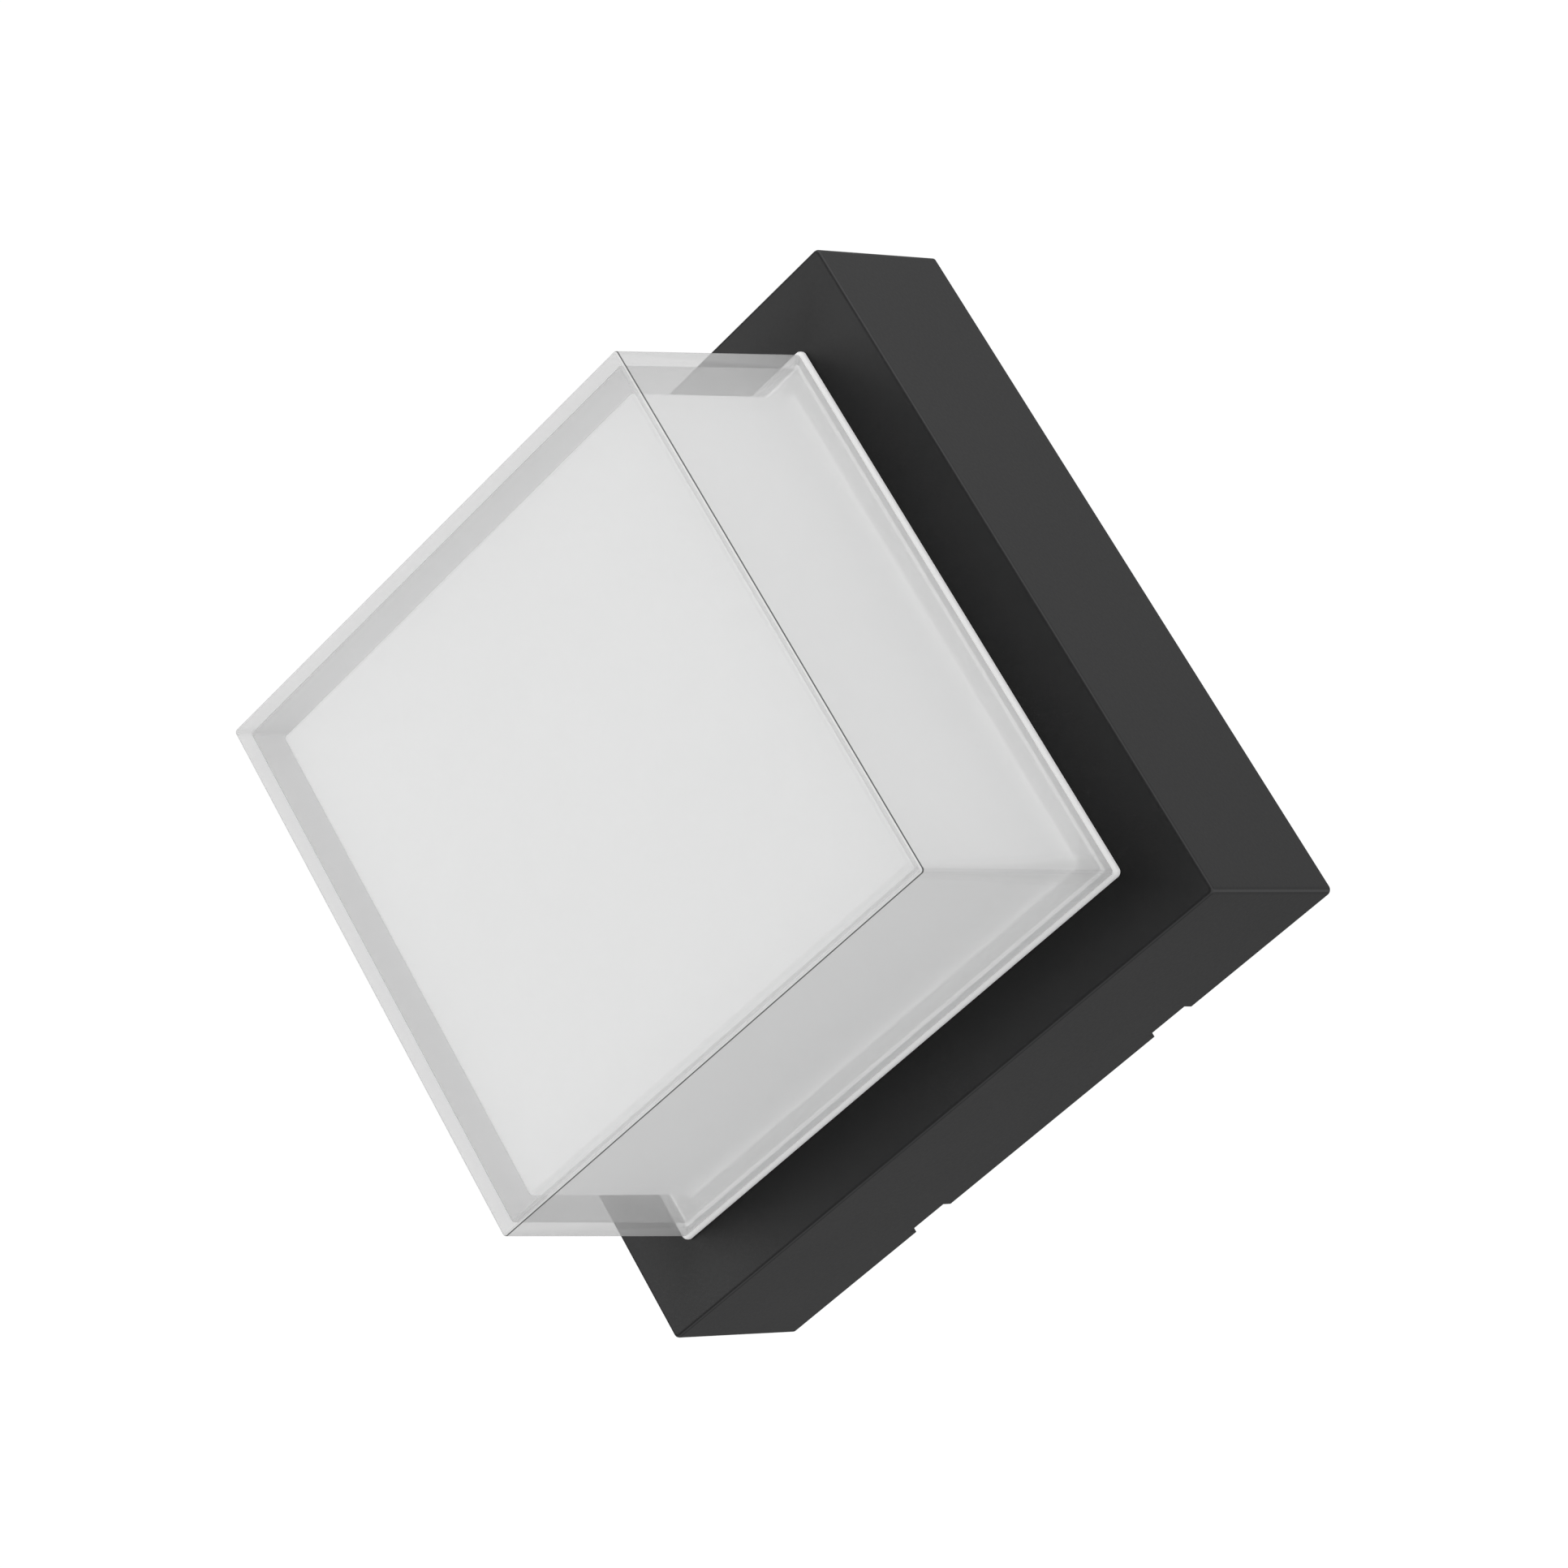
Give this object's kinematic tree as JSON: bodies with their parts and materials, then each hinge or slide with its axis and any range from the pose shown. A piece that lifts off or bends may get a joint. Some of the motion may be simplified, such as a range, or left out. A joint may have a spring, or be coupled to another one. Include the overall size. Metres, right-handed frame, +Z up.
{
  "type": "outdoor wall lantern",
  "caption": "Square lantern hung on its corner: a clear cover round an opal box on a shallow black housing that pushes on to a steel wall bracket with spring clips.",
  "frame": {"origin": "centre of the wall bracket's rear face, on the wall surface", "axes": "+Y into the wall, so the lantern stands out to -Y; +Z up; +X to the right of someone facing the wall"},
  "size_m": [0.2252, 0.099, 0.2252],
  "materials": {
    "housing_paint": "satin black powder coat on die-cast aluminium",
    "clear_acrylic": "glossy clear moulding, faintly milky",
    "opal_acrylic": "white opal moulding, fine satin surface",
    "gasket_silicone": "grey silicone cord",
    "zinc_steel": "zinc plated",
    "board_white": "white solder mask on aluminium core board",
    "pad_grey": "soft heat-conducting pad",
    "led_body": "white moulded package",
    "led_phosphor": "yellow phosphor gel",
    "reflector_white": "matt white sheet",
    "grommet_black": "black moulded rubber",
    "lead_red": "red insulated lead",
    "lead_black": "black insulated lead",
    "solder": "bright solder",
    "driver_plastic": "white moulded plastic",
    "terminal_plastic": "natural polyamide",
    "brass_bar": "plain brass",
    "lead_brown": "brown insulated lead",
    "lead_blue": "blue insulated lead",
    "lead_green_yellow": "green and yellow insulated lead",
    "tinned_copper": "tinned copper",
    "clamp_plastic": "black polyamide",
    "galvanised_sheet": "galvanised pressed steel",
    "spring_steel": "stainless spring strip",
    "rivet_aluminium": "plain aluminium"
  },
  "bodies": {
    "wall_mount": {"wall_bracket": "galvanised_sheet", "cable_grommet": "grommet_black", "clip_springs": "spring_steel", "spring_rivets": "rivet_aluminium"},
    "lantern": {"base_housing": "housing_paint", "clear_cover": "clear_acrylic", "opal_diffuser": "opal_acrylic", "diffuser_gasket": "gasket_silicone", "diffuser_screws": "zinc_steel", "led_board": "board_white", "thermal_pad": "pad_grey", "led_packages": "led_body", "led_phosphors": "led_phosphor", "reflector_tray": "reflector_white", "board_screws": "zinc_steel", "lead_grommet": "grommet_black", "led_lead_positive": "lead_red", "led_lead_negative": "lead_black", "solder_joints": "solder", "driver_case": "driver_plastic", "driver_lid": "driver_plastic", "driver_screws": "zinc_steel", "terminal_block": "terminal_plastic", "terminal_inserts": "brass_bar", "terminal_screws": "zinc_steel", "terminal_fixings": "zinc_steel", "live_lead": "lead_brown", "neutral_lead": "lead_blue", "earth_lead": "lead_green_yellow", "earth_tag": "tinned_copper", "earth_screw": "brass_bar", "cable_clamp": "clamp_plastic", "clamp_screws": "zinc_steel"}
  },
  "joints": [
    {"name": "body_release", "type": "slide", "parent": "wall_mount", "child": "lantern", "axis": [0, -1, 0], "range_m": [0, 0.06]}
  ]
}
